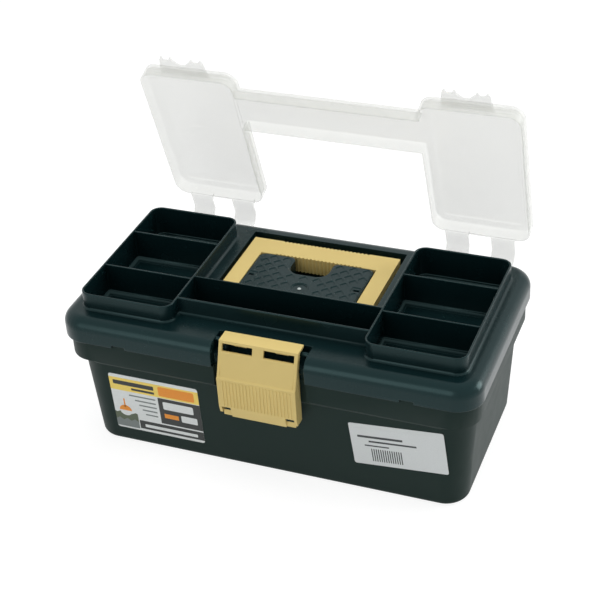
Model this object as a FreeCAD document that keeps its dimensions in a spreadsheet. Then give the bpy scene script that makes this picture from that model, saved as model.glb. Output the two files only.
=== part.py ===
import FreeCAD, Part
import math
import os
import re

import Sketcher
from FreeCAD import Rotation, Vector

# A small injection-moulded tackle box in five mouldings: a tub, a lid that carries two
# three-compartment trays, a hinged clear cover over the trays, a fold-flat carrying handle
# and a front latch. X runs along the box, -Y is the front with the latch, Z is up, and the
# origin is the middle of the underside. Lengths are in millimetres.
#
# Both the lid and the cover swing about one line behind the box: the lid's hooks clip over
# bars of the tub, and the cover's straps clip over bars of the lid. The cover is drawn
# closed and then turned open about that line by its body's Placement.

# name: (value, what it measures). Heights are above the underside. A "half" length or depth
# is measured from the middle plane, and "reach" is how far a part comes from it in X.
SIZES = {
    # tub
    "base_half_length": (148, "tub's underside, half length"),
    "base_half_depth": (71, "tub's underside, half depth"),
    "base_corner": (18, "plan corner radius of the underside"),
    "base_round": (4.5, "rounding under the tub"),
    "draft": (4, "draft of the tub's walls, degrees"),
    "flare_height": (75.4, "where the tub's wall turns out to the collar"),
    "collar_height": (80.6, "lower edge of the collar's band"),
    "collar_step": (5, "how far the collar stands out of the wall"),
    "collar_corner": (20, "plan corner radius of the collar's outside"),
    "rim_height": (96.8, "top of the collar"),
    "wall": (2.2, "wall of the tub and the lid"),
    "lip_height": (3.8, "lip that rises inside the lid"),
    "lip_gap": (0.6, "lip to the inside of the lid"),
    "tab_reach": (110.5, "locating tab's middle"),
    "tab_width": (8, "locating tab"),
    "tab_height": (3.2, "locating tab above the rim"),
    "tab_notch": (2.4, "height of the lid's notch for it"),
    # lid
    "lid_half_length": (160.8, "lid, half length"),
    "lid_half_depth": (83.9, "lid, half depth"),
    "lid_corner": (20, "plan corner radius of the lid"),
    "lid_round": (9.5, "rounding of the lid's top edge"),
    "under_step": (4, "step in the lid's hollow under the rounded edge"),
    "lid_height": (97.7, "lower edge of the lid"),
    "ledge_height": (116.9, "lid's top face"),
    # trays and trough
    "tray_far": (147.8, "tray's outer end"),
    "tray_near": (73.4, "tray's inner end"),
    "tray_front": (66.95, "tray's front, before the middle"),
    "tray_back": (65.25, "tray's back, behind the middle"),
    "tray_corner": (8.8, "tray's plan corner radius"),
    "tray_wall": (1.6, "wall of trays and trough"),
    "tray_floor": (104, "floor inside a tray"),
    "tray_rim": (130.2, "rim of trays and trough"),
    "divider_drop": (0.8, "divider's top below the rim"),
    "divider_wall": (1.5, "divider's thickness"),
    "front_divider": (24.2, "front divider, before the middle"),
    "back_divider": (25.75, "back divider, behind the middle"),
    "trough_front": (52, "trough's front, before the middle"),
    "trough_back": (20.7, "trough's back, before the middle"),
    # well for the handle, with the island that stands in it
    "well_reach": (63, "well, half length"),
    "well_front": (5.6, "well's front end, before the middle"),
    "well_back": (70.5, "well's back end, behind the middle"),
    "well_floor": (101.1, "floor of the well"),
    "deep_floor": (92.4, "floor of the well's deep ends, where the arms' tails swing"),
    "deep_back": (20.4, "back of the deep ends, behind the middle"),
    "island_reach": (46.5, "island, half length"),
    "island_back": (42.6, "island's back end"),
    "island_corner": (5, "island's plan corner radius"),
    "notch_middle": (-1.5, "finger notch's middle"),
    "notch_reach": (15.5, "finger notch, half length"),
    "notch_front": (21.5, "finger notch's front end"),
    "notch_corner": (9, "finger notch's corner radius"),
    "notch_shoulder": (4, "radius of the notch's shoulders"),
    "dimple_radius": (6, "dimple at the gate"),
    "dimple_depth": (0.5, "depth of the dimple"),
    # carrying handle
    "handle_reach": (60, "handle, half length"),
    "handle_front": (4, "front ends of the arms, before the middle"),
    "handle_back": (63.6, "back of the grip"),
    "handle_top": (116.6, "handle's top face, folded flat"),
    "handle_deep": (13.2, "handle's thickness"),
    "arm_width": (13, "arm of the handle"),
    "grip_width": (20, "grip of the handle"),
    "handle_wall": (2.6, "handle's walls round its cores"),
    "grip_rib": (2, "cross rib in the grip"),
    "arm_round": (2, "rounding of the arms' ends"),
    "pivot_back": (12, "handle's pivot, behind the middle"),
    "pivot_height": (110, "handle's pivot"),
    "pivot_pin": (2.9, "radius of the handle's pin"),
    "pivot_play": (0.1, "radial running clearance of that pin"),
    "pin_length": (4.4, "handle's pin"),
    "flute_pitch": (3.1, "spacing of the grip's flutes"),
    "flute_width": (2.2, "width of a flute"),
    "flute_depth": (1.1, "depth of a flute"),
    "flutes": (23, "flutes along each face of the grip"),
    # hinge line behind the box
    "hinge_back": (87, "hinge line, behind the middle"),
    "hinge_height": (88.5, "hinge line"),
    "bar_radius": (2.5, "hinge bar"),
    "bar_play": (0.06, "radial running clearance on the bar"),
    "eye_radius": (4.4, "corners of the hooks, eyes and ears round the bar"),
    "ear_wall": (2.6, "ear that carries a bar"),
    "ear_gap": (0.6, "side play beside a hook or an eye"),
    "hook_reach": (40, "middle of the tub's hinge"),
    "hook_width": (24, "hook of the lid"),
    "stop_near": (5.2, "stop web, from the hinge line"),
    "stop_far": (7.8, "stop web's far face"),
    "stop_gap": (0.3, "strap of the open cover to the stop web"),
    "snap_slot": (4, "mouth of a snap-on hook or eye"),
    # clear cover
    "cover_open": (71, "how far the cover stands open, degrees"),
    "cover_top": (132.2, "cover's top face, closed"),
    "cover_edge": (120.8, "cover's lower edge, closed"),
    "cover_plate": (1.6, "thickness of the cover's plate"),
    "cover_wall": (1.4, "thickness of the cover's skirt"),
    "cover_gap": (0.5, "skirt to tray wall"),
    "panel_inset": (6.5, "raised panel, inside the plate's edge"),
    "panel_rise": (1, "how far the panel is raised"),
    "strap_near": (91, "middle of the inner strap"),
    "strap_far": (127.7, "middle of the outer strap"),
    "strap_width": (18.5, "strap"),
    "strap_wall": (2, "thickness of a strap"),
    "strap_height": (121.4, "strap's top face, closed"),
    "strap_back": (84.6, "inner face of the strap behind the lid"),
    "lip_middle": (109.9, "middle of the finger lip"),
    "lip_reach": (19.8, "finger lip, half width"),
    "lip_edge": (80.3, "dip between the lip's two grips, before the middle"),
    "lip_tip": (84, "front of the lip's two grips"),
    "dip_reach": (2.4, "dip, half width"),
    "lip_low": (122.2, "finger lip's underside"),
    "lip_plate": (1.6, "thickness of the finger lip"),
    "grip_middle": (12.2, "grip, from the lip's middle"),
    "grip_reach": (5.6, "grip, half width"),
    "tooth": (3.4, "width of a grip's tooth at its root"),
    "tooth_crown": (1.4, "width of the tooth's crown"),
    "tooth_middle": (3.7, "tooth, from the grip's middle"),
    "tooth_out": (2.6, "tooth, out of the grip"),
    # latch
    "recess_reach": (35.5, "latch recess, half width"),
    "recess_face": (77.2, "back of the recess, before the middle"),
    "recess_back": (64, "back of the recess in the lid's top"),
    "recess_floor": (106, "floor of the recess in the lid's top"),
    "latch_reach": (30.3, "latch, half width"),
    "latch_wall": (2.2, "latch's plate and flanges"),
    "latch_top": (119.2, "latch's top face"),
    "latch_back": (66.3, "latch's back edge, before the middle"),
    "latch_shoulder": (78, "front of the latch's top face, before the middle"),
    "ridge_front": (88.6, "latch's ridge, before the middle"),
    "ridge_height": (92.6, "latch's ridge"),
    "latch_chin": (67.5, "lower edge of the ribbed panel"),
    "latch_tab": (21.2, "latch's finger tab, half width"),
    "flange_back": (78.4, "inner edge of the flanges, before the middle"),
    "window_near": (4.3, "window's inner end"),
    "window_far": (27.6, "window's outer end"),
    "window_low": (111.3, "window's lower edge"),
    "slot_length": (4.9, "slot over each of the handle's pins"),
    "latch_bottom": (58.2, "latch's lower edge"),
    "latch_axis_front": (71, "latch's hinge, before the middle"),
    "latch_axis_height": (114.5, "latch's hinge"),
    "latch_bar": (1.75, "radius of the latch's bar"),
    "lug_front": (2.1, "lugs that carry it, before the hinge"),
    "lug_back": (1.2, "lugs, behind the hinge"),
    "lug_reach": (27, "outer lugs, from the middle"),
    "lug_width": (3, "lug"),
    "clip_radius": (3.4, "corners of the latch's clips"),
    "clip_play": (0.06, "radial running clearance of the clips"),
    "clip_reach": (16, "clip's middle"),
    "clip_width": (10, "clip"),
    "clip_slot": (2.8, "mouth of a clip"),
    "catch_reach": (23.4, "tub's catch, half width"),
    "catch_depth": (4.4, "catch, out of the recess"),
    "catch_low": (86, "underside of the catch"),
    "catch_gap": (0.5, "catch to the latch's hook"),
    "rib_pitch": (2.6, "spacing of the latch's ribs"),
    "rib_width": (1.2, "rib"),
    "rib_rise": (0.5, "how far the ribs are raised"),
    "ribs": (21, "ribs down the latch"),
}

doc = FreeCAD.newDocument("tackle_box")
sheet = doc.addObject("Spreadsheet::Sheet", "Sizes")
for row, (name, (value, meaning)) in enumerate(SIZES.items(), start=1):
    sheet.set(f"A{row}", name)
    sheet.set(f"B{row}", str(value))
    sheet.set(f"C{row}", meaning)
    sheet.setAlias(f"B{row}", name)
doc.recompute()


# ---------------------------------------------------------------- helpers


def bound(expression):
    """The expression with each size's name pointed at its cell."""
    return re.sub(r"[a-z_]+", lambda word: ("Sizes." if word[0] in SIZES else "") + word[0], expression)


def value(expression):
    """What an expression of sizes comes to now."""
    return float(sheet.evalExpression(bound(expression)))


def new_body(label):
    body = doc.addObject("PartDesign::Body", label)
    body.Label = label
    return body


def origin_plane(body, role):
    return next(item for item in body.Origin.OriginFeatures if item.Role == role)


def new_sketch(body, name, role="XY_Plane", offset="0"):
    """A sketch on one of the body's origin planes, moved along its normal."""
    sketch = body.newObject("Sketcher::SketchObject", name)
    sketch.AttachmentSupport = [(origin_plane(body, role), "")]
    sketch.MapMode = "FlatFace"
    sketch.setExpression("AttachmentOffset.Base.z", bound(offset))
    return sketch


def hold(sketch, kind, places, expression):
    """A dimension of the sketch, driven by an expression of sizes."""
    number = sketch.addConstraint(Sketcher.Constraint(kind, *places, value(expression)))
    sketch.setExpression(f"Constraints[{number}]", bound(expression))


def draw_corners(sketch, corners):
    """A closed outline of straight edges. Each corner is a pair of expressions."""
    points = [Vector(value(across), value(up), 0) for across, up in corners]
    count = len(points)
    first = len(sketch.Geometry)
    for i in range(count):
        sketch.addGeometry(Part.LineSegment(points[i], points[(i + 1) % count]))
    for i, (across, up) in enumerate(corners):
        line, after = first + i, first + (i + 1) % count
        sketch.addConstraint(Sketcher.Constraint("Coincident", line, 2, after, 1))
        hold(sketch, "DistanceX", (-1, 1, line, 1), across)
        hold(sketch, "DistanceY", (-1, 1, line, 1), up)


def draw_box(sketch, left, right, low, high):
    draw_corners(sketch, [(left, low), (right, low), (right, high), (left, high)])


def draw_rounded(sketch, left, right, low, high, radius):
    """A rectangle with four equal round corners."""
    x0, x1, y0, y1, r = (value(item) for item in (left, right, low, high, radius))
    edge = [(x0 + r, y0), (x1 - r, y0), (x1, y0 + r), (x1, y1 - r)]
    edge += [(x1 - r, y1), (x0 + r, y1), (x0, y1 - r), (x0, y0 + r)]
    centre = [(x1 - r, y0 + r), (x1 - r, y1 - r), (x0 + r, y1 - r), (x0 + r, y0 + r)]
    first = len(sketch.Geometry)
    for i in range(4):
        sketch.addGeometry(Part.LineSegment(Vector(*edge[2 * i], 0), Vector(*edge[2 * i + 1], 0)))
        turn = Part.Circle(Vector(*centre[i], 0), Vector(0, 0, 1), r)
        start = math.radians(90 * i - 90)
        sketch.addGeometry(Part.ArcOfCircle(turn, start, start + math.radians(90)))
    for i in range(8):
        sketch.addConstraint(Sketcher.Constraint("Tangent", first + i, 2, first + (i + 1) % 8, 1))
    for i, way in enumerate(("Horizontal", "Vertical", "Horizontal", "Vertical")):
        sketch.addConstraint(Sketcher.Constraint(way, first + 2 * i))
    for i in (3, 5, 7):
        sketch.addConstraint(Sketcher.Constraint("Equal", first + 1, first + i))
    hold(sketch, "Radius", (first + 1,), radius)
    hold(sketch, "DistanceY", (-1, 1, first, 1), low)
    hold(sketch, "DistanceX", (-1, 1, first + 2, 1), right)
    hold(sketch, "DistanceY", (-1, 1, first + 4, 1), high)
    hold(sketch, "DistanceX", (-1, 1, first + 6, 1), left)


def octagon(across, up, radius):
    """The corners of an octagon, flat sides up, anticlockwise from the right."""
    far, near = f"{radius} * cos(22.5deg)", f"{radius} * sin(22.5deg)"
    return [
        (f"{across} + {far}", f"{up} + {near}"),
        (f"{across} + {near}", f"{up} + {far}"),
        (f"{across} - {near}", f"{up} + {far}"),
        (f"{across} - {far}", f"{up} + {near}"),
        (f"{across} - {far}", f"{up} - {near}"),
        (f"{across} - {near}", f"{up} - {far}"),
        (f"{across} + {near}", f"{up} - {far}"),
        (f"{across} + {far}", f"{up} - {near}"),
    ]


def draw_circle(sketch, across, up, radius):
    middle = Vector(value(across), value(up), 0)
    circle = sketch.addGeometry(Part.Circle(middle, Vector(0, 0, 1), value(radius)))
    hold(sketch, "Radius", (circle,), radius)
    hold(sketch, "DistanceX", (-1, 1, circle, 3), across)
    hold(sketch, "DistanceY", (-1, 1, circle, 3), up)


def extrude(kind, sketch, length, taper="0", middle=False, back=False):
    """A Pad or Pocket of the sketch. It must add or remove material."""
    body = sketch.getParentGeoFeatureGroup()
    before = body.Shape.Volume if body.Tip else 0
    feature = body.newObject(f"PartDesign::{kind}", f"{sketch.Name}{kind}")
    feature.Profile = sketch
    feature.setExpression("Length", bound(length))
    feature.setExpression("TaperAngle", bound(taper))
    if middle:
        feature.SideType = "Symmetric"
    feature.Reversed = back
    sketch.Visibility = False
    doc.recompute()
    gained = feature.Shape.Volume - before
    if not (gained > 0.01 if kind == "Pad" else gained < -0.01):
        raise RuntimeError(f"{feature.Name} changes the volume by {gained}")
    return feature


def pad(sketch, length, **options):
    return extrude("Pad", sketch, length, **options)


def pocket(sketch, length, **options):
    return extrude("Pocket", sketch, length, **options)


def round_edges(feature, radius, chosen):
    """A Fillet of the edges whose bounding box passes the test."""
    names = [f"Edge{i}" for i, edge in enumerate(feature.Shape.Edges, start=1) if chosen(edge.BoundBox)]
    body = feature.getParentGeoFeatureGroup()
    fillet = body.newObject("PartDesign::Fillet", f"{feature.Name}Round")
    fillet.Base = (feature, names)
    fillet.setExpression("Radius", bound(radius))
    doc.recompute()
    return fillet


def level(box, height):
    return abs(box.ZMin - value(height)) < 0.01 and abs(box.ZMax - value(height)) < 0.01


def upright(box, places, top):
    """Whether an edge stands at one of the (x, y) places and ends at the top."""
    return any(
        abs(box.XMin - x) + abs(box.XMax - x) + abs(box.YMin - y) + abs(box.YMax - y) < 0.04
        for x, y in places
    ) and abs(box.ZMax - top) < 0.01 and box.ZLength > 1


def along_x(box, places):
    """Whether an edge runs along X at one of the (y, z) places."""
    return box.XLength > 1 and any(
        abs(box.YMin - y) + abs(box.YMax - y) + abs(box.ZMin - z) + abs(box.ZMax - z) < 0.04
        for y, z in places
    )


def either_side(near, far):
    """The X spans from near to far on the left and on the right of the middle."""
    return [("Left", f"-({far})", f"-({near})"), ("Right", near, far)]


# ---------------------------------------------------------------- tub


def draw_tub_outline(sketch, half_x, half_y, radius, grow):
    """The tub's plan outline, moved out by grow."""
    x, y = f"({half_x} + {grow})", f"({half_y} + {grow})"
    draw_rounded(sketch, f"-{x}", x, f"-{y}", y, f"{radius} + {grow}")


def make_tub():
    body = new_body("tub")
    lean = "flare_height * tan(draft * 1deg)"
    rise = "(collar_height - flare_height)"
    plan = ("base_half_length", "base_half_depth", "base_corner")

    # the walls: a drafted bin, a short flare and the upright band of the collar
    base = new_sketch(body, "TubBase")
    draw_tub_outline(base, *plan, "0")
    pad(base, "flare_height", taper="draft")
    turn = new_sketch(body, "TubFlare", offset="flare_height")
    draw_tub_outline(turn, *plan, lean)
    pad(turn, rise, taper=f"atan(collar_step / {rise})")
    band = new_sketch(body, "TubBand", offset="collar_height")
    x, y = (f"({half} + {lean} + collar_step)" for half in plan[:2])
    draw_rounded(band, f"-{x}", x, f"-{y}", y, "collar_corner")
    solid = pad(band, "rim_height - collar_height")
    round_edges(solid, "base_round", lambda box: level(box, "0"))

    # the hollow follows the walls one wall's thickness inside, with a ledge in the flare
    hollow = new_sketch(body, "TubMouth", offset="rim_height")
    draw_tub_outline(hollow, *plan, f"{lean} + collar_step - wall")
    pocket(hollow, "rim_height - collar_height")
    hollow = new_sketch(body, "TubHollow", offset="collar_height")
    draw_tub_outline(hollow, *plan, "collar_height * tan(draft * 1deg) - wall")
    pocket(hollow, "collar_height - wall", taper="-draft")

    # the lip that rises inside the lid, left out behind the latch
    lip = new_sketch(body, "TubLip", offset="rim_height")
    draw_tub_outline(lip, *plan, f"{lean} + collar_step - wall")
    x, y = "(lid_half_length - wall - lip_gap)", "(lid_half_depth - wall - lip_gap)"
    draw_rounded(lip, f"-{x}", x, f"-{y}", y, f"base_corner + {lean} + collar_step - lip_gap")
    pad(lip, "lip_height")
    gap = new_sketch(body, "TubLipGap", offset="rim_height + lip_height + 1")
    draw_box(gap, "-(recess_reach + 3)", "recess_reach + 3", "-lid_half_depth", "-recess_face + wall")
    pocket(gap, "lip_height + 1")

    # behind the latch the collar is set back to the plane of the wall
    foot = "flare_height - wall"
    inner = new_sketch(body, "TubRecessWall", "YZ_Plane")
    draw_corners(inner, [
        ("-recess_face + wall", foot),
        (f"-base_half_depth - ({foot}) * tan(draft * 1deg) + 0.1", foot),
        (f"-base_half_depth - {lean} + 0.1", "flare_height"),
        ("-recess_face - 4", "flare_height + 4.6"),
        ("-recess_face - 4", "rim_height"),
        ("-recess_face + wall", "rim_height"),
    ])
    pad(inner, "2 * (recess_reach + wall)", middle=True)
    recess = new_sketch(body, "TubRecess", offset="rim_height + 1")
    draw_box(recess, "-recess_reach", "recess_reach", "-lid_half_depth - 1", "-recess_face")
    pocket(recess, "rim_height - flare_height + 1")
    catch = new_sketch(body, "TubCatch", "YZ_Plane")
    draw_corners(catch, [
        ("-recess_face + 0.5", "catch_low"),
        ("-recess_face - catch_depth", "catch_low"),
        ("-recess_face - catch_depth", "catch_low + 1.2"),
        ("-recess_face + 0.5", "catch_low + 5.6"),
    ])
    pad(catch, "2 * catch_reach", middle=True)

    # tabs that drop the lid's front edge into place
    for side, left, right in either_side("tab_reach - tab_width / 2", "tab_reach + tab_width / 2"):
        tab = new_sketch(body, f"TubTab{side}", offset="rim_height")
        outer = f"-base_half_depth - {lean} - collar_step"
        draw_box(tab, left, right, outer, f"{outer} + 1.8")
        pad(tab, "tab_height")

    # two pairs of ears, each with a bar for a hook of the lid and a stop web behind it
    span = "(hook_width + 2 * ear_gap)"
    for side, x in (("Left", "-hook_reach"), ("Right", "hook_reach")):
        ears = new_sketch(body, f"TubEars{side}", "YZ_Plane", x)
        draw_corners(ears, [
            ("hinge_back - 6", "hinge_height - 6.7"),
            ("hinge_back + 8.6", "hinge_height - 9"),
            ("hinge_back + 8.6", "hinge_height - 4.3"),
            ("hinge_back + 4.6", "hinge_height + 3"),
            ("hinge_back", "hinge_height + 6.5"),
            ("hinge_back - 6", "hinge_height + 8"),
        ])
        pad(ears, f"{span} + 2 * ear_wall", middle=True)
        between = new_sketch(body, f"TubEarGap{side}", "YZ_Plane", x)
        draw_corners(between, [
            ("hinge_back - 4.8", "hinge_height - 10"),
            ("hinge_back + 6", "hinge_height - 10"),
            ("hinge_back + 6", "hinge_height - 4.3"),
            ("hinge_back + 10", "hinge_height - 4.3"),
            ("hinge_back + 10", "hinge_height + 10"),
            ("hinge_back - 4.8", "hinge_height + 10"),
        ])
        pocket(between, span, middle=True)
        bar = new_sketch(body, f"TubBar{side}", "YZ_Plane", x)
        draw_circle(bar, "hinge_back", "hinge_height", "bar_radius")
        pad(bar, f"{span} + 1", middle=True)
    return body


# ---------------------------------------------------------------- lid


STRAPS = [
    ("LeftFar", "-strap_far"),
    ("LeftNear", "-strap_near"),
    ("RightNear", "strap_near"),
    ("RightFar", "strap_far"),
]


def tray_sides():
    return either_side("tray_near", "tray_far")


def draw_well(sketch, grow):
    """The well round the island, its walls moved out by grow."""
    left, right = f"notch_middle - notch_reach - {grow}", f"notch_middle + notch_reach + {grow}"
    outside, inside = f"(well_reach + {grow})", f"(island_reach - {grow})"
    front, back = f"-well_front - {grow}", f"well_back + {grow}"
    island, notch = f"island_back - {grow}", f"notch_front - {grow}"
    draw_corners(sketch, [
        (f"-{outside}", front),
        (f"-{inside}", front),
        (f"-{inside}", island),
        (left, island),
        (left, notch),
        (right, notch),
        (right, island),
        (inside, island),
        (inside, front),
        (outside, front),
        (outside, back),
        (f"-{outside}", back),
    ])


def make_lid_shell(body):
    """The lid's top and edge, with the mouldings of trays, trough and well let into it."""
    block = new_sketch(body, "LidBlock", offset="lid_height")
    x, y = "lid_half_length", "lid_half_depth"
    draw_rounded(block, f"-{x}", x, f"-{y}", y, "lid_corner")
    solid = pad(block, "ledge_height - lid_height")
    round_edges(solid, "lid_round", lambda box: level(box, "ledge_height"))
    under = new_sketch(body, "LidUnder", offset="lid_height")
    x, y = "(lid_half_length - wall)", "(lid_half_depth - wall)"
    draw_rounded(under, f"-{x}", x, f"-{y}", y, "lid_corner - wall")
    pocket(under, "ledge_height - lid_height - wall - under_step", back=True)
    crown = new_sketch(body, "LidCrown", offset="lid_height")
    x, y = f"({x} - under_step)", f"({y} - under_step)"
    draw_rounded(crown, f"-{x}", x, f"-{y}", y, "lid_corner - wall - under_step")
    pocket(crown, "ledge_height - lid_height - wall", back=True)

    # trays and the trough that joins them
    for side, left, right in tray_sides():
        tray = new_sketch(body, f"Tray{side}", offset="tray_floor - tray_wall")
        draw_rounded(tray, left, right, "-tray_front", "tray_back", "tray_corner")
        pad(tray, "tray_rim - tray_floor + tray_wall")
    trough = new_sketch(body, "Trough", offset="tray_floor - tray_wall")
    draw_box(trough, "-tray_near - 1", "tray_near + 1", "-trough_front", "-trough_back")
    pad(trough, "tray_rim - tray_floor + tray_wall")

    # well and latch recess, walls first and then their hollows
    well = new_sketch(body, "WellWalls", offset="lid_height")
    draw_well(well, "wall")
    pad(well, "ledge_height - lid_height - 1")
    ends = new_sketch(body, "DeepEndWalls", offset="deep_floor - wall")
    for _, left, right in either_side("island_reach - wall", "well_reach + wall"):
        draw_box(ends, left, right, "-well_front - wall", "deep_back + wall")
    pad(ends, "ledge_height - 2 - deep_floor")
    seat = new_sketch(body, "LatchSeat", "YZ_Plane")
    draw_corners(seat, [
        ("-lid_half_depth + 0.5", "lid_height"),
        ("-recess_face + wall", "lid_height"),
        ("-recess_face + wall", "recess_floor - wall"),
        ("-recess_back + wall", "recess_floor - wall"),
        ("-recess_back + wall", "ledge_height - 1"),
        ("-lid_half_depth + lid_round", "ledge_height - 1"),
        ("-lid_half_depth + 0.5", "ledge_height - lid_round"),
    ])
    # the seat stays under the lid's rounded edge until the recess is cut through it
    pad(seat, "2 * (recess_reach + wall)", middle=True)
    recess = new_sketch(body, "LatchRecess", "YZ_Plane")
    draw_corners(recess, [
        ("-lid_half_depth - 1", "lid_height - 1"),
        ("-recess_face", "lid_height - 1"),
        ("-recess_face", "recess_floor"),
        ("-recess_back", "recess_floor"),
        ("-recess_back", "ledge_height + 1"),
        ("-lid_half_depth - 1", "ledge_height + 1"),
    ])
    pocket(recess, "2 * recess_reach", middle=True)
    hollow = new_sketch(body, "Well", offset="ledge_height")
    draw_well(hollow, "0")
    sunk = pocket(hollow, "ledge_height - well_floor")
    left, right = value("notch_middle - notch_reach"), value("notch_middle + notch_reach")
    notch, island, side = value("notch_front"), value("island_back"), value("island_reach")
    bottom = [(left, notch), (right, notch)]
    shoulders = [(left, island), (right, island)]
    ends = [(-side, island), (side, island)]
    top = value("ledge_height")
    sunk = round_edges(sunk, "notch_corner", lambda box: upright(box, bottom, top))
    sunk = round_edges(sunk, "notch_shoulder", lambda box: upright(box, shoulders, top))
    round_edges(sunk, "island_corner", lambda box: upright(box, ends, top))
    deep = new_sketch(body, "DeepEnds", offset="ledge_height")
    for _, left, right in either_side("island_reach", "well_reach"):
        draw_box(deep, left, right, "-well_front", "deep_back")
    pocket(deep, "ledge_height - deep_floor")


def make_compartments(body):
    for side, left, right in tray_sides():
        inside = new_sketch(body, f"TrayInside{side}", offset="tray_rim")
        low, high = "-tray_front + tray_wall", "tray_back - tray_wall"
        first, last = f"{left} + tray_wall", f"{right} - tray_wall"
        draw_rounded(inside, first, last, low, high, "tray_corner - tray_wall")
        pocket(inside, "tray_rim - tray_floor")
        for place, middle in (("Front", "-front_divider"), ("Back", "back_divider")):
            divider = new_sketch(body, f"Divider{side}{place}", offset="tray_floor - 0.5")
            near, far = f"{middle} - divider_wall / 2", f"{middle} + divider_wall / 2"
            draw_box(divider, f"{left} + tray_wall / 2", f"{right} - tray_wall / 2", near, far)
            pad(divider, "tray_rim - divider_drop - tray_floor + 0.5")
    trough = new_sketch(body, "TroughInside", offset="tray_rim")
    draw_box(trough, "-tray_near", "tray_near", "-trough_front + tray_wall", "-trough_back - tray_wall")
    pocket(trough, "tray_rim - tray_floor")


def make_lid_hinges(body):
    back, up = "hinge_back", "hinge_height"
    under = octagon(back, up, "eye_radius")[4:8]

    # hooks that clip over the tub's bars
    for side, x in (("Left", "-hook_reach"), ("Right", "hook_reach")):
        hook = new_sketch(body, f"Hook{side}", "YZ_Plane", x)
        draw_corners(hook, under + [
            (under[3][0], f"{up} + eye_radius"),
            ("lid_half_depth + 1", f"{up} + 17.5"),
            (under[0][0], f"{up} + 17.5"),
        ])
        pad(hook, "hook_width", middle=True)

    # pairs of ears for the cover's straps
    span = "(strap_width + 2 * ear_gap)"
    for name, x in STRAPS:
        ears = new_sketch(body, f"Ears{name}", "YZ_Plane", x)
        draw_corners(ears, under[:3] + [
            (f"{back} + stop_far", f"{up} - 3"),
            (f"{back} + stop_far", f"{up} + 5"),
            ("lid_half_depth + 1", f"{up} + 20"),
            (under[0][0], f"{up} + 20"),
        ])
        pad(ears, f"{span} + 2 * ear_wall", middle=True)
        between = new_sketch(body, f"EarGap{name}", "YZ_Plane", x)
        draw_corners(between, [
            (f"{back} - eye_radius - 1", f"{up} - 10"),
            (f"{back} + 12", f"{up} - 10"),
            (f"{back} + 12", f"{up} + 21"),
            ("lid_half_depth", f"{up} + 21"),
            ("lid_half_depth", "lid_height"),
            (f"{back} - eye_radius - 1", "lid_height"),
        ])
        pocket(between, span, middle=True)
        bar = new_sketch(body, f"Bar{name}", "YZ_Plane", x)
        draw_circle(bar, back, up, "bar_radius")
        pad(bar, f"{span} + 1", middle=True)
        # the web's sloping top lies under the strap of the open cover
        web = new_sketch(body, f"Stop{name}", "YZ_Plane", x)
        slope = "tan(cover_open * 1deg)"
        shift = "(hinge_back - strap_back - strap_wall) / sin(cover_open * 1deg)"
        draw_corners(web, [
            (f"{back} + stop_near", f"{up} - 3"),
            (f"{back} + stop_far", f"{up} - 3"),
            (f"{back} + stop_far", f"{up} + stop_far / {slope} + {shift} - stop_gap"),
            (f"{back} + stop_near", f"{up} + stop_near / {slope} + {shift} - stop_gap"),
        ])
        pad(web, f"{span} + 1", middle=True)
    for side, x in (("Left", "-hook_reach"), ("Right", "hook_reach")):
        make_snap(body, f"Hook{side}", x, "hook_width", back, up, "bar_radius + bar_play", "snap_slot")


def make_snap(body, name, x, width, across, up, radius, slot):
    """A bore for a bar, with a narrower mouth below it that lets the bar snap in."""
    bore = new_sketch(body, f"{name}Bore", "YZ_Plane", x)
    draw_circle(bore, across, up, radius)
    pocket(bore, f"{width} + 0.2", middle=True)
    mouth = new_sketch(body, f"{name}Mouth", "YZ_Plane", x)
    draw_box(mouth, f"{across} - {slot} / 2", f"{across} + {slot} / 2", f"{up} - 6", up)
    return pocket(mouth, f"{width} + 0.2", middle=True)


def make_latch_seat(body):
    """The bar across the latch recess, with the lugs that carry it."""
    across, up = "-latch_axis_front", "latch_axis_height"
    bar = new_sketch(body, "LatchBar", "YZ_Plane")
    draw_circle(bar, across, up, "latch_bar")
    pad(bar, "2 * recess_reach + 1", middle=True)
    for name, x in (("Left", "-lug_reach"), ("Middle", "0"), ("Right", "lug_reach")):
        lug = new_sketch(body, f"Lug{name}", "YZ_Plane", x)
        draw_box(lug, f"{across} - lug_front", f"{across} + lug_back", "recess_floor - 0.5", up)
        pad(lug, "lug_width", middle=True)


def make_lid():
    body = new_body("lid")
    make_lid_shell(body)
    make_lid_hinges(body)
    make_latch_seat(body)

    # the handle's pivot holes, the slots above them and the dimple at the moulding's gate
    holes = new_sketch(body, "PivotHoles", "YZ_Plane")
    draw_circle(holes, "pivot_back", "pivot_height", "pivot_pin + pivot_play")
    pocket(holes, "2 * island_reach + 0.5", middle=True)
    slots = new_sketch(body, "PivotSlots", offset="ledge_height")
    for left in ("-island_reach + 1", "island_reach - 7.1"):
        draw_box(slots, left, f"{left} + slot_length", "pivot_back - 1", "pivot_back + 1")
    pocket(slots, "wall + 0.2")
    gate = new_sketch(body, "GateDimple", offset="ledge_height")
    draw_circle(gate, "0", "3", "dimple_radius")
    pocket(gate, "dimple_depth")
    for side, left, right in either_side("tab_reach - tab_width / 2 - 1", "tab_reach + tab_width / 2 + 1"):
        notch = new_sketch(body, f"TabNotch{side}", offset="lid_height")
        draw_box(notch, left, right, "-lid_half_depth - 1", "-lid_half_depth + wall + 0.1")
        pocket(notch, "tab_notch", back=True)

    make_compartments(body)
    return body


# ---------------------------------------------------------------- clear cover


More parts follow.
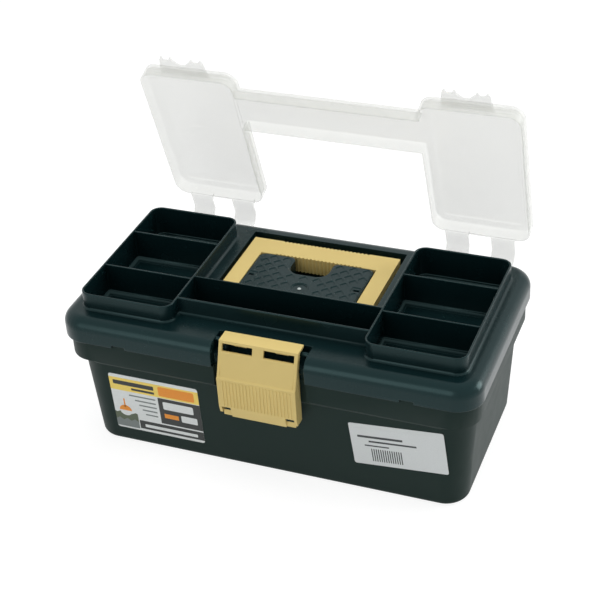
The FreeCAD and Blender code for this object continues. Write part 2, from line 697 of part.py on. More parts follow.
def make_cover():
    body = new_body("clear_cover")
    grow = "(cover_gap + cover_wall)"
    hollow, tall = "cover_gap", "cover_top - cover_edge"

    def draw_panel(sketch, left, right, out):
        draw_rounded(sketch, f"{left} - {out}", f"{right} + {out}",
                     f"-tray_front - {out}", f"tray_back + {out}", f"tray_corner + {out}")

    for side, left, right in tray_sides():
        panel = new_sketch(body, f"Panel{side}", offset="cover_edge")
        draw_panel(panel, left, right, grow)
        pad(panel, tall)
    bridge = new_sketch(body, "Bridge", offset="cover_edge")
    draw_box(bridge, "-tray_near", "tray_near", f"-trough_front - {grow}", f"-trough_back + {grow}")
    pad(bridge, tall)

    for side, left, right in tray_sides():
        inside = new_sketch(body, f"PanelInside{side}", offset="cover_edge")
        draw_panel(inside, left, right, hollow)
        pocket(inside, f"{tall} - cover_plate", back=True)
    inside = new_sketch(body, "BridgeInside", offset="cover_edge")
    front, back = f"-trough_front - {hollow}", f"-trough_back + {hollow}"
    draw_box(inside, "-tray_near - 1", "tray_near + 1", front, back)
    pocket(inside, f"{tall} - cover_plate", back=True)

    # a panel raised in each plate
    for side, left, right in tray_sides():
        raised = new_sketch(body, f"Raised{side}", offset="cover_top")
        draw_panel(raised, left, right, f"({grow} - panel_inset)")
        pad(raised, "panel_rise")
        sunk = new_sketch(body, f"RaisedInside{side}", offset="cover_top - cover_plate")
        draw_panel(sunk, left, right, f"({grow} - panel_inset - cover_plate)")
        pocket(sunk, "panel_rise", back=True)

    # finger lips with a double grip in front
    root = f"-tray_front - {grow} + 0.5"
    for side, sign in (("Left", "-1"), ("Right", "1")):
        lip = new_sketch(body, f"Lip{side}", offset="lip_low")
        middle = f"{sign} * lip_middle"
        half, dip, tip = "lip_reach", "-lip_edge", "-lip_tip"
        corners = [(f"{middle} - {half}", root)]
        for hump in ("-grip_middle", "grip_middle"):
            place = f"{middle} + {hump}"
            corners += [(f"{place} - grip_reach", tip), (f"{place} + grip_reach", tip)]
            if hump == "-grip_middle":
                corners += [(f"{middle} - dip_reach", dip), (f"{middle} + dip_reach", dip)]
        draw_corners(lip, corners + [(f"{middle} + {half}", root)])
        pad(lip, "lip_plate")
        teeth = new_sketch(body, f"Teeth{side}", offset="lip_low")
        for hump in ("-grip_middle", "grip_middle"):
            for tooth in ("-tooth_middle", "tooth_middle"):
                place = f"{middle} + {hump} + {tooth}"
                draw_corners(teeth, [
                    (f"{place} - tooth / 2", f"{tip} + 0.4"),
                    (f"{place} - tooth_crown / 2", f"{tip} - tooth_out"),
                    (f"{place} + tooth_crown / 2", f"{tip} - tooth_out"),
                    (f"{place} + tooth / 2", f"{tip} + 0.4"),
                ])
        pad(teeth, "lip_plate")

    # straps over the back of the lid to eyes on its bars
    for name, x in STRAPS:
        strap = new_sketch(body, f"Strap{name}", "YZ_Plane", x)
        low, high = "strap_height - strap_wall", "strap_height"
        near, far = "strap_back", "strap_back + strap_wall"
        draw_corners(strap, [
            ("tray_back + cover_gap + 0.1", low),
            (f"{near} - 4", low),
            (near, f"{low} - 4"),
            (near, "hinge_height + bar_radius + 1"),
            (far, "hinge_height + bar_radius + 1"),
            (far, f"{high} - 5"),
            (f"{far} - 5", high),
            (f"tray_back + {grow} + 5", high),
            (f"tray_back + {grow} + 0.5", f"{high} + 5"),
            ("tray_back + cover_gap + 0.1", f"{high} + 5"),
        ])
        pad(strap, "strap_width", middle=True)
        eye = new_sketch(body, f"Eye{name}", "YZ_Plane", x)
        draw_corners(eye, octagon("hinge_back", "hinge_height", "eye_radius"))
        pad(eye, "strap_width", middle=True)
        make_snap(body, f"Eye{name}", x, "strap_width", "hinge_back", "hinge_height",
                  "bar_radius + bar_play", "snap_slot")

    # stood open about the hinge line
    turn = "Sizes.cover_open * 1deg"
    body.Placement = FreeCAD.Placement(Vector(), Rotation(Vector(-1, 0, 0), value("cover_open")))
    body.setExpression("Placement.Rotation.Angle", turn)
    body.setExpression("Placement.Base.y", bound("hinge_back * (1 - cos(cover_open * 1deg))"
                                                 " - hinge_height * sin(cover_open * 1deg)"))
    body.setExpression("Placement.Base.z", bound("hinge_height * (1 - cos(cover_open * 1deg))"
                                                 " + hinge_back * sin(cover_open * 1deg)"))
    doc.recompute()
    return body


# ---------------------------------------------------------------- handle


def make_handle():
    body = new_body("carrying_handle")
    outer, inner = "handle_reach", "(handle_reach - arm_width)"
    front, back, grip = "-handle_front", "handle_back", "handle_back - grip_width"
    bow = new_sketch(body, "Bow", offset="handle_top - handle_deep")
    draw_corners(bow, [
        (f"-{outer}", front),
        (f"-{inner}", front),
        (f"-{inner}", grip),
        (inner, grip),
        (inner, front),
        (outer, front),
        (outer, back),
        (f"-{outer}", back),
    ])
    solid = pad(bow, "handle_deep")
    tip, low, high = value(front), value("handle_top - handle_deep"), value("handle_top")
    round_edges(solid, "arm_round", lambda box: along_x(box, [(tip, low), (tip, high)]))

    # cored out from below, with cross ribs left in the grip
    cores = new_sketch(body, "Cores", offset="handle_top - handle_deep")
    rib, shell = "grip_rib", "handle_wall"
    cells = 6
    pitch = f"(2 * ({outer} - {shell}) + {rib}) / {cells}"
    for i in range(cells):
        left = f"-({outer} - {shell}) + {i} * {pitch}"
        draw_box(cores, left, f"{left} + {pitch} - {rib}", f"{grip} + {shell}", f"{back} - {shell}")
    for _, left, right in either_side(f"({inner} + {shell})", f"({outer} - {shell})"):
        draw_box(cores, left, right, "pivot_back + 8", f"{grip} + {shell} - {rib}")
    pocket(cores, f"handle_deep - {shell}", back=True)

    # flutes down both faces of the grip
    first = "-flute_pitch * (flutes - 1) / 2"
    for name, face, way in (("Inner", grip, "+"), ("Outer", back, "-")):
        flute = new_sketch(body, f"Flute{name}", offset="handle_top + 1")
        over = "-" if way == "+" else "+"
        draw_corners(flute, [
            (f"{first} - flute_width", f"{face} {over} flute_depth"),
            (f"{first} + flute_width", f"{face} {over} flute_depth"),
            (first, f"{face} {way} flute_depth"),
        ])
        cut = pocket(flute, "handle_deep + 2")
        row = body.newObject("PartDesign::LinearPattern", f"Flutes{name}")
        row.Originals = [cut]
        row.Direction = (flute, ["H_Axis"])
        row.setExpression("Length", bound("flute_pitch * (flutes - 1)"))
        row.setExpression("Occurrences", bound("flutes"))
        body.Tip = row
        doc.recompute()

    # pins that turn in the island's sides
    for side, x in (("Left", "-"), ("Right", "")):
        pin = new_sketch(body, f"Pin{side}", "YZ_Plane", f"{x}(island_reach - 1)")
        draw_circle(pin, "pivot_back", "pivot_height", "pivot_pin")
        pad(pin, "pin_length", middle=True)
    return body


# ---------------------------------------------------------------- latch


def make_latch():
    body = new_body("front_latch")
    outside = [
        ("-latch_back", "latch_top"),
        ("-latch_shoulder", "latch_top"),
        ("-ridge_front + 1.5", "ridge_height + 1.2"),
        ("-ridge_front", "ridge_height"),
        ("-ridge_front + 0.1", "latch_chin"),
        ("-ridge_front + 2.3", "latch_bottom"),
    ]
    plate = new_sketch(body, "LatchPlate", "YZ_Plane")
    draw_corners(plate, outside + [
        ("-ridge_front + 2.3 + latch_wall", "latch_bottom"),
        ("-ridge_front + 0.1 + latch_wall", "latch_chin + 0.2"),
        ("-ridge_front + latch_wall", "ridge_height"),
        ("-latch_shoulder + latch_wall - 0.7", "latch_top - latch_wall"),
        ("-latch_back", "latch_top - latch_wall"),
    ])
    pad(plate, "2 * latch_reach", middle=True)

    # flanges down both sides, running past the plate's lower corners
    for side, left, right in either_side("latch_reach - latch_wall", "latch_reach"):
        flange = new_sketch(body, f"Flange{side}", "YZ_Plane", f"({left} + {right}) / 2")
        draw_corners(flange, [
            ("-latch_back - 8", "latch_top - 1"),
            ("-latch_shoulder - 0.3", "latch_top - 1"),
            ("-ridge_front + 1", "ridge_height"),
            ("-ridge_front + 1.1", "latch_chin"),
            ("-ridge_front + 2.6", "latch_chin - 6"),
            ("-flange_back", "latch_chin - 6"),
            ("-flange_back", "recess_floor - 1"),
        ])
        pad(flange, "latch_wall", middle=True)
    corners = new_sketch(body, "LatchCorners", "XZ_Plane", "ridge_front - 1.1 - latch_wall")
    for side, left, right in either_side("latch_tab", "latch_reach - latch_wall"):
        draw_box(corners, left, right, "latch_bottom - 1", "latch_chin")
    pocket(corners, "10", back=True)
    ends = new_sketch(body, "LatchEnds", "XZ_Plane", "ridge_front - 12")
    for side, left, right in either_side("latch_reach - latch_wall - 0.1", "latch_reach + 1"):
        draw_box(ends, left, right, "latch_bottom - 1", "latch_chin - 6")
    pocket(ends, "20", back=True)

    # windows over the hinge
    windows = new_sketch(body, "Windows", "XZ_Plane", "latch_shoulder - 4")
    for side, left, right in either_side("window_near", "window_far"):
        draw_box(windows, left, right, "window_low", "latch_top - latch_wall")
    pocket(windows, "16", back=True)

    # clips on the lid's bar
    across, up = "-latch_axis_front", "latch_axis_height"
    for side, x in (("Left", "-clip_reach"), ("Right", "clip_reach")):
        clip = new_sketch(body, f"Clip{side}", "YZ_Plane", x)
        draw_corners(clip, octagon(across, up, "clip_radius"))
        pad(clip, "clip_width", middle=True)
        make_snap(body, f"Clip{side}", x, "clip_width", across, up, "latch_bar + clip_play", "clip_slot")

    # the hook under the tub's catch
    hook = new_sketch(body, "LatchHook", "YZ_Plane")
    face, tip = "-ridge_front + latch_wall - 0.5", "-recess_face - catch_depth - catch_gap"
    draw_corners(hook, [
        (face, "catch_low - catch_gap - 7"),
        (tip, "catch_low - catch_gap - 2"),
        (tip, "catch_low - catch_gap"),
        (face, "catch_low - catch_gap"),
    ])
    pad(hook, "2 * (catch_reach - 2)", middle=True)

    # grip ribs down the lower panel
    rib = new_sketch(body, "Rib", "XZ_Plane", "ridge_front - 0.5")
    start = "-rib_pitch * (ribs - 1) / 2"
    left, right = f"{start} - rib_width / 2", f"{start} + rib_width / 2"
    draw_box(rib, left, right, "latch_chin + 1", "ridge_height - 1.5")
    raised = pad(rib, "rib_rise + 0.5")
    row = body.newObject("PartDesign::LinearPattern", "RibRow")
    row.Originals = [raised]
    row.Direction = (rib, ["H_Axis"])
    row.setExpression("Length", bound("rib_pitch * (ribs - 1)"))
    row.setExpression("Occurrences", bound("ribs"))
    body.Tip = row
    doc.recompute()
    return body


# ---------------------------------------------------------------- build


os.makedirs("parts", exist_ok=True)
bodies = [make_tub(), make_lid(), make_cover(), make_handle(), make_latch()]
doc.recompute()
for item in doc.Objects:
    if "Invalid" in item.State or "Error" in item.State:
        raise RuntimeError(f"{item.Name} is {item.State}")
for body in bodies:
    shape = body.Shape
    if shape.isNull() or not shape.isValid() or len(shape.Solids) != 1:
        raise RuntimeError(f"{body.Label} is not one valid solid")
    shape.exportStep(f"parts/{body.Label}.step")
    size = shape.BoundBox
    print(f"{body.Label}: {shape.Volume / 1000:.1f} cm3, {len(shape.Faces)} faces, "
          f"{size.XLength:.1f} x {size.YLength:.1f} x {size.ZLength:.1f} mm")
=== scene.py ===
# %% [markdown]
# # A small tackle box
# This lesson dresses a moulded fishing tackle box: a deep tub, a lid whose top is two
# three-cell trays and a trough, a clear cover over the trays, a fold-flat handle and a
# front latch. All of it is injection-moulded polypropylene, so the whole look rests on
# three things: soft edges, a fine satin grain, and thin clear walls.
# The solids come ready made from the construction model. What is added here is what a
# plain solid lacks: rounded edges, real finishes, the raised pattern and the labels.

# %% Load the solids
import math

import bmesh
import bpy
from mathutils import Matrix, Vector
from mathutils.geometry import delaunay_2d_cdt


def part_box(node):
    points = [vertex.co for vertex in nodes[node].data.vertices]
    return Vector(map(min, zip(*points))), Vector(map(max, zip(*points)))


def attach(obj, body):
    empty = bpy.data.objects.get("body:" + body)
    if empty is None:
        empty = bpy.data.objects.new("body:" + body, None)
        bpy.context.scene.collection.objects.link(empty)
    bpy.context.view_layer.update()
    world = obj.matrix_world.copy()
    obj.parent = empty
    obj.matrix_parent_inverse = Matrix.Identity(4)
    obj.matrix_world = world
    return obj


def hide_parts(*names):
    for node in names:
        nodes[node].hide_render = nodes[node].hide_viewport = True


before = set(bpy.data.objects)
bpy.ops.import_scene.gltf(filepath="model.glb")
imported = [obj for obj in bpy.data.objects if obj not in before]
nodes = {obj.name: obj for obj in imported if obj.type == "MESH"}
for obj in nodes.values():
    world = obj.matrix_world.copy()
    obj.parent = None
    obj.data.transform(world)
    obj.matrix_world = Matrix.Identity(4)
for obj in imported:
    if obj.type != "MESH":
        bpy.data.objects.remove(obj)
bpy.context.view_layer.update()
MM = 0.001
for name in sorted(nodes):
    low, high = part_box(name)
    size = (high - low) / MM
    print(f"{name}: {size.x:.0f} x {size.y:.0f} x {size.z:.0f} mm")

# %% [markdown]
# ## Camera
# A product camera stands to the right of the box and looks down on it from just over a
# metre, with a long lens so that the far corner hardly shrinks. Its place and its three
# axes are written out as numbers, which is the surest way to repeat a measured view.

# %% Camera
STAND = (358.39, -846.32, 722.16)
RIGHT = (0.93318, 0.35553, -0.05262)
UP = (-0.15710, 0.53521, 0.82998)
BACK = (0.32325, -0.76626, 0.55530)
lens = bpy.data.cameras.new("product_camera")
lens.lens = 88.63
lens.sensor_width = 36.0
camera = bpy.data.objects.new("product_camera", lens)
turned = Matrix((RIGHT, UP, BACK)).transposed().to_4x4()
camera.matrix_world = Matrix.Translation(Vector(STAND) * MM) @ turned
bpy.context.scene.collection.objects.link(camera)
bpy.context.scene.camera = camera
print(f"camera {camera.location.length:.2f} m from the middle of the box's foot")

# %% [markdown]
# ## Colours and nodes
# Blender's shaders work in linear light, but colours are easier to read as the hex
# codes of a screen, so one function turns a code into linear light. A second small
# function adds a shader node with its settings and links, so that each material below
# reads as a short recipe.

# %% Colours and nodes
def linear(code):
    """An sRGB hex code as linear red, green, blue and alpha."""
    parts = [int(code[i:i + 2], 16) / 255 for i in (1, 3, 5)]
    light = [c / 12.92 if c <= 0.04045 else ((c + 0.055) / 1.055) ** 2.4 for c in parts]
    return (*light, 1.0)


def add(tree, kind, settings=(), inputs=()):
    """Adds one node; inputs maps a socket's name or number to a value or to a link."""
    node = tree.nodes.new(kind)
    for key, value in dict(settings).items():
        setattr(node, key, value)
    for key, value in dict(inputs).items():
        socket = node.inputs[key]
        if isinstance(value, bpy.types.NodeSocket):
            tree.links.new(value, socket)
        else:
            socket.default_value = value
    return node


def new_material(name):
    """An empty material, its node tree and its position in object space."""
    material = bpy.data.materials.new(name)
    material.use_nodes = True
    material.node_tree.nodes.clear()
    place = add(material.node_tree, "ShaderNodeTexCoord")
    return material, material.node_tree, place.outputs["Object"]


print("linear grey of #808080:", round(linear("#808080")[0], 3))

# %% [markdown]
# ## From loose faces to a piece
# Most pieces that are added are built face by face in a bmesh, Blender's workbench for
# meshes. When its faces are done, the same four steps follow each time: store them in a
# mesh, clear the bench, hang the mesh on an object, and put that in the scene.

# %% From loose faces to a piece
def piece_from(grid, name):
    """Turns the workbench's faces into an object of the scene with this name."""
    mesh = bpy.data.meshes.new(name)
    grid.to_mesh(mesh)
    grid.free()
    piece = bpy.data.objects.new(name, mesh)
    bpy.context.scene.collection.objects.link(piece)
    return piece


# %% [markdown]
# ## Dark polypropylene with a spark-eroded grain
# The tub is dark green-grey polypropylene, moulded in steel that was spark-eroded, which
# leaves a fine satin grain. The eye gets a soft, broad sheen on it instead of a mirror,
# and long surfaces drift a little in tone where the melt cooled unevenly. Polypropylene
# bends light by 1.49. The real grain is about 0.15 mm; that is below one pixel here, so
# it is drawn at 0.9 mm, with a low bump. Real plastic mirrors light without a tint. The
# gloss gets a slight green one here as a painter's help, which keeps the sheen in the
# plastic's own colour.

# %% The grained plastic
TONE_DRIFT = 60 * MM
GLOSS_DRIFT = 15 * MM
PIT_DEPTH = 0.05 * MM
PLASTIC_IOR = 1.49


def grained_plastic(name, dark, light, rough, grain, bump, shine, veil, tint="#FFFFFF"):
    """Moulded plastic between two tones, with a grain in mm.

    bump is the grain's strength, shine the specular level, veil the sheen's weight and
    tint the colour of the gloss."""
    material, tree, place = new_material(name)
    drift = add(tree, "ShaderNodeTexNoise", {}, {
        "Vector": place, "Scale": 1 / TONE_DRIFT, "Detail": 3.0, "Roughness": 0.6})
    tone = add(tree, "ShaderNodeMix", {"data_type": "RGBA"}, {
        0: drift.outputs["Fac"], 6: linear(dark), 7: linear(light)})
    sheen = add(tree, "ShaderNodeTexNoise", {}, {
        "Vector": place, "Scale": 1 / GLOSS_DRIFT, "Detail": 2.0})
    satin = add(tree, "ShaderNodeMapRange", {}, {
        "Value": sheen.outputs["Fac"], "To Min": rough - 0.05, "To Max": rough + 0.05})
    pits = add(tree, "ShaderNodeTexNoise", {}, {
        "Vector": place, "Scale": 1 / (grain * MM), "Detail": 4.0, "Roughness": 0.65})
    relief = add(tree, "ShaderNodeBump", {}, {
        "Height": pits.outputs["Fac"], "Strength": bump, "Distance": PIT_DEPTH})
    surface = add(tree, "ShaderNodeBsdfPrincipled", {}, {
        "Base Color": tone.outputs[2], "Roughness": satin.outputs["Result"],
        "Normal": relief.outputs["Normal"], "IOR": PLASTIC_IOR, "Specular IOR Level": shine,
        "Specular Tint": linear(tint), "Sheen Weight": veil, "Sheen Roughness": 0.35})
    add(tree, "ShaderNodeOutputMaterial", {}, {"Surface": surface.outputs["BSDF"]})
    print(f"{name}: roughness {rough}, grain {grain} mm")
    return material


tub_plastic = grained_plastic(
    "spark_eroded_polypropylene_dark", "#142421", "#1B2926", rough=0.5, grain=0.9, bump=0.5,
    shine=0.15, veil=0.03, tint="#D8EEE6")

# %% [markdown]
# The lid comes from a smoother tool, so it is deeper in tone and a little glossier. The
# handle and the latch are the same plastic in beige: light, warm, and only lightly
# grained, so their ribs and flutes stay crisp.

# %% The lid's and the trim's plastic
lid_plastic = grained_plastic(
    "satin_polypropylene_dark", "#07181A", "#0C2123", rough=0.26, grain=0.7, bump=0.25,
    shine=0.36, veil=0.0, tint="#C0ECEC")
trim_plastic = grained_plastic(
    "satin_polypropylene_beige", "#DCC37C", "#E4CC86", rough=0.42, grain=0.8, bump=0.3,
    shine=0.2, veil=0.0)

# %% [markdown]
# ## Clear polypropylene
# The cover is unpigmented polypropylene, 1.4 mm thick. Its crystals scatter light, so it
# is milky rather than glass-clear: one wall greys a white background slightly, and walls
# seen along their length stack up to a darker edge. The shader lets part of the light
# straight through (alpha), and the rest goes into a rough, half-transmitting plastic.
# Faint flow marks about 12 mm long stretch along the cover.

# %% The clear plastic
CLOUD = 0.28
FLOW_MARK = 12 * MM
clear_plastic, tree, place = new_material("clear_polypropylene_moulded")
stretched = add(tree, "ShaderNodeMapping", {}, {
    "Vector": place, "Scale": (0.35, 1.0, 1.0)})
flow = add(tree, "ShaderNodeTexNoise", {}, {
    "Vector": stretched.outputs["Vector"], "Scale": 1 / FLOW_MARK, "Detail": 3.0})
haze = add(tree, "ShaderNodeMapRange", {}, {
    "Value": flow.outputs["Fac"], "To Min": 0.22, "To Max": 0.4})
milk = add(tree, "ShaderNodeMix", {"data_type": "RGBA"}, {
    0: flow.outputs["Fac"], 6: linear("#DFE1DA"), 7: linear("#E8E9E3")})
ripple = add(tree, "ShaderNodeBump", {}, {
    "Height": flow.outputs["Fac"], "Strength": 0.25, "Distance": 0.3 * MM})
surface = add(tree, "ShaderNodeBsdfPrincipled", {}, {
    "Base Color": milk.outputs[2], "Roughness": haze.outputs["Result"],
    "Normal": ripple.outputs["Normal"], "IOR": PLASTIC_IOR, "Alpha": CLOUD,
    "Transmission Weight": 0.1, "Specular IOR Level": 0.4})
add(tree, "ShaderNodeOutputMaterial", {}, {"Surface": surface.outputs["BSDF"]})
print("each face of the clear plastic lets", 1 - CLOUD, "of the light straight through")

# %% [markdown]
# ## Rounded edges
# No moulding has knife edges: steel tools are radiused and plastic shrinks, so every
# corner catches a thin line of light. Each solid is copied, and a Bevel modifier rounds
# its sharp edges. It works with weights, so an edge beside a narrow step gets a smaller
# round than an edge beside a wide wall, and no round runs into its neighbour. A Weighted
# Normal modifier then keeps the flat faces looking flat. The lower edge of the tub's
# collar stays sharp: its corners have another radius than the wall's, so the ledge there
# runs out into points that no round fits.

# %% The room beside an edge
# A neighbour leads across a face where the cosine between it and the edge is below this.
ACROSS = 0.75


def room_beside(edge):
    """The shortest way from the edge to the next one across its faces, in metres."""
    along = (edge.verts[1].co - edge.verts[0].co).normalized()
    room = 1.0
    for vert in edge.verts:
        for other in vert.link_edges:
            way = other.other_vert(vert).co - vert.co
            if other != edge and abs(way.normalized().dot(along)) < ACROSS:
                room = min(room, way.length)
    return room


print(f"an edge counts as across below a cosine of {ACROSS}")

# %% [markdown]
# An edge counts as sharp where its two faces turn by more than 34 degrees, so that the
# facets of a round corner are left alone. A bevel takes at most 0.4 of the room beside
# it, and in less than 0.2 mm of room there is none.

# %% A rounded copy of a moulding
SHARP = math.radians(34.0)
SHARE_OF_ROOM = 0.4
LEAST_ROOM = 0.2 * MM
SAME_POINT = 0.002 * MM
SAME_HEIGHT = 0.1 * MM


def rounded_copy(node, name, radius, plain=None):
    """A copy of the node's mesh with its sharp edges weighted for the bevel.

    Edges that lie at the height plain, in mm, keep their sharp corner."""
    source = nodes[node].data
    mesh = bpy.data.meshes.new(name)
    mesh.from_pydata([tuple(v.co) for v in source.vertices], [],
                     [tuple(p.vertices) for p in source.polygons])
    grid = bmesh.new()
    grid.from_mesh(mesh)
    bmesh.ops.remove_doubles(grid, verts=grid.verts, dist=SAME_POINT)
    weights = grid.edges.layers.float.new("bevel_weight_edge")
    for edge in grid.edges:
        at_plain = plain and all(abs(v.co.z - plain * MM) < SAME_HEIGHT for v in edge.verts)
        if edge.is_manifold and not at_plain and edge.calc_face_angle() > SHARP:
            room = room_beside(edge)
            share = min(1.0, SHARE_OF_ROOM * room / radius)
            edge[weights] = share if room > LEAST_ROOM else 0.0
    for face in grid.faces:
        face.smooth = True
    grid.to_mesh(mesh)
    grid.free()
    piece = bpy.data.objects.new(name, mesh)
    bpy.context.scene.collection.objects.link(piece)
    bevel = piece.modifiers.new("rounded edges", "BEVEL")
    bevel.width = radius
    bevel.segments = 2
    bevel.limit_method = "WEIGHT"
    bevel.use_clamp_overlap = False
    bevel.harden_normals = False
    flat = piece.modifiers.new("flat faces stay flat", "WEIGHTED_NORMAL")
    flat.keep_sharp = True
    return piece


print("sharp edges turn by more than", round(math.degrees(SHARP)), "degrees")

# %% [markdown]
# The five mouldings are made with that one tool. Each rides on an empty named for the body that
# it belongs to.

# %% The five mouldings
# Each row: the solid, the piece's name, its body, its slot, its plastic, the radius of its
# edges in mm, and the height of edges that stay sharp.
COLLAR_FOOT = 80.6
MOULDINGS = (
    ("tub", "tub_moulding", "tub", "tub",
     tub_plastic, 0.7, COLLAR_FOOT),
    ("lid", "lid_moulding", "lid", "lid",
     lid_plastic, 0.6, None),
    ("clear_cover", "clear_cover_moulding", "clear_cover", "clear_cover",
     clear_plastic, 0.3, None),
    ("carrying_handle", "handle_moulding", "carrying_handle", "handle",
     trim_plastic, 0.4, None),
    ("front_latch", "latch_moulding", "front_latch", "latch",
     trim_plastic, 0.5, None),
)
for node, name, body, slot, material, radius, plain in MOULDINGS:
    piece = rounded_copy(node, name, radius * MM, plain)
    piece.data.materials.append(material)
    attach(piece, body)
    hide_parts(node)
    print(f"{name}: {len(piece.data.polygons)} faces before rounding")

# %% [markdown]
# ## Flat shapes
# The gate mark on the lid and every layer of the two labels are thin flat shapes. Each is
# given as outlines in millimetres on its own plane. One function gives the outlines a
# thickness, and a place function says where the plane lies on the box.

# %% Thin shapes on a surface
def rounded_box(left, low, right, high, radius, steps=5):
    """The outline of a rectangle with rounded corners."""
    points = []
    corners = ((right - radius, high - radius, 0), (left + radius, high - radius, 90),
               (left + radius, low + radius, 180), (right - radius, low + radius, 270))
    for x, y, start in corners:
        for i in range(steps + 1):
            turn = math.radians(start + 90 * i / steps)
            points.append((x + radius * math.cos(turn), y + radius * math.sin(turn)))
    return points


def thin_shapes(name, outlines, place, low, high, draft=0.0):
    """One piece made of flat outlines, each a layer from low to high over its plane.

    draft draws the upper outline in towards its middle; all are in mm."""
    grid = bmesh.new()
    for outline in outlines:
        middle = sum((Vector(p) for p in outline), Vector((0, 0))) / len(outline)
        inset = [Vector(p) + (middle - Vector(p)).normalized() * draft for p in outline]
        foot = [grid.verts.new(place(x, y, low)) for x, y in outline]
        crown = [grid.verts.new(place(x, y, high)) for x, y in inset]
        grid.faces.new(crown)
        grid.faces.new(foot[::-1])
        for i, vert in enumerate(foot):
            j = (i + 1) % len(foot)
            grid.faces.new((vert, foot[j], crown[j], crown[i]))
    bmesh.ops.recalc_face_normals(grid, faces=grid.faces)
    return piece_from(grid, name)


print("a rounded box has", len(rounded_box(0, 0, 2, 2, 1)), "points")

# %% [markdown]
# ## The raised pattern on the island
# The island in the middle of the lid carries a diagonal lattice of shallow square dishes,
# as many tool boxes do: it hides scratches where small things are put down. The lattice is
# one raised skin 0.55 mm high. A Delaunay triangulation fills its outline round the holes,
# each hole has a sloping wall, and so the ridges between the dishes catch the light, which
# a bump would not do at a low angle.

# %% The dishes of the lattice
ISLAND_TOP = 116.9
STEP = 10.8
DISH_HALF = 2.95
DISH_CORNER = 0.9
DIAGONAL = 0.7071
DIMPLE_Y = 3
PHASE_X, PHASE_Y = 4.8, 3.6
ROWS = range(-12, 13)
REACH_X, REACH_FRONT, REACH_BACK = 42.5, -2.5, 38.5
DIMPLE_CLEAR = 11.8
NOTCH_LEFT, NOTCH_RIGHT, NOTCH_FRONT = -22.6, 19.6, 16.5
SLOT_X, SLOT_Y = 42, 12
SLOT_CLEAR_X, SLOT_CLEAR_Y = 7.5, 6


def on_island(x, y, lift):
    """A point over the island's top, with x, y and lift in mm."""
    return Vector((x, y, ISLAND_TOP + lift)) * MM


def dish(x, y):
    """A square hole with rounded corners, turned by 45 degrees about its middle."""
    square = rounded_box(-DISH_HALF, -DISH_HALF, DISH_HALF, DISH_HALF, DISH_CORNER, 2)
    return [(x + (u - v) * DIAGONAL, y + (u + v) * DIAGONAL) for u, v in square]


def fits_island(x, y):
    """True where a dish keeps off the island's edges, its notch, slots and dimple."""
    off_island = abs(x) > REACH_X or not REACH_FRONT < y < REACH_BACK
    over_dimple = math.hypot(x, y - DIMPLE_Y) < DIMPLE_CLEAR
    over_notch = NOTCH_LEFT < x < NOTCH_RIGHT and y > NOTCH_FRONT
    over_slot = abs(abs(x) - SLOT_X) < SLOT_CLEAR_X and abs(y - SLOT_Y) < SLOT_CLEAR_Y
    return not (off_island or over_dimple or over_notch or over_slot)


dishes = []
for k in ROWS:
    for m in ROWS:
        difference, total = PHASE_X + STEP * k, PHASE_Y + STEP * m
        x, y = (difference + total) / 2, (total - difference) / 2
        if fits_island(x, y):
            dishes.append((x, y))
print(len(dishes), "dishes in the lattice")

# %% [markdown]
# The skin's outline follows the island a little inside its edge and round the finger
# notch. The two slots and the dimple are holes in it, as the dishes are.

# %% The outline and the holes
outline = [(-45.3, -4.4), (45.3, -4.4), (45.3, 37.5), (44, 40.2), (41.3, 41.4), (19.5, 41.4),
           (16.0, 38.6), (15.5, 27.5), (12.6, 22.6), (7.0, 20.3), (-10.0, 20.3), (-15.6, 22.6),
           (-18.5, 27.5), (-19.0, 38.6), (-22.5, 41.4), (-41.3, 41.4), (-44, 40.2), (-45.3, 37.5)]


def ring_of(radius, step):
    """Points round the dimple's middle, one each step degrees."""
    turns = [math.radians(a) for a in range(0, 360, step)]
    return [(radius * math.cos(t), DIMPLE_Y + radius * math.sin(t)) for t in turns]


slots = [rounded_box(left, 8.2, left + 7.4, 15.8, 1.0, 2) for left in (-45.1, 37.7)]
loops = [outline, ring_of(7.2, 15)] + slots + [dish(x, y) for x, y in dishes]
print(len(loops) - 1, "holes in the skin")

# %% [markdown]
# Two small helpers come first. One moves a loop outwards or inwards, for the foot of each
# sloping wall. It goes along the direction between a point's two neighbours, which is near
# enough for such a narrow slope. The other tells whether a point lies inside a loop.

# %% Helpers for loops
def grown(loop, way):
    """The loop moved out by way, in mm; a negative way moves it in."""
    moved = []
    for i, (x, y) in enumerate(loop):
        before, after = Vector(loop[i - 1]), Vector(loop[(i + 1) % len(loop)])
        along = (after - before).normalized()
        moved.append((x + along.y * way, y - along.x * way))
    return moved


def inside(x, y, loop):
    """Whether a point is in the loop: a line from it crosses an odd number of sides."""
    odd = False
    for i, (x1, y1) in enumerate(loop):
        x0, y0 = loop[i - 1]
        if (y0 > y) != (y1 > y) and x < x0 + (y - y0) * (x1 - x0) / (y1 - y0):
            odd = not odd
    return odd


print("the dimple's middle is inside the outline:", inside(0, DIMPLE_Y, outline))

# %% [markdown]
# The triangulation fills the whole outline with flat triangles that keep to every loop.
# Those whose middle lies in a hole are left out. Then each loop gets its sloping wall,
# which ends just below the island's top, so that no gap shows.

# %% The lattice as one skin
RAISED = 0.55
SLOPE = 0.75
SUNK = -0.1
EXACT = 1e-5

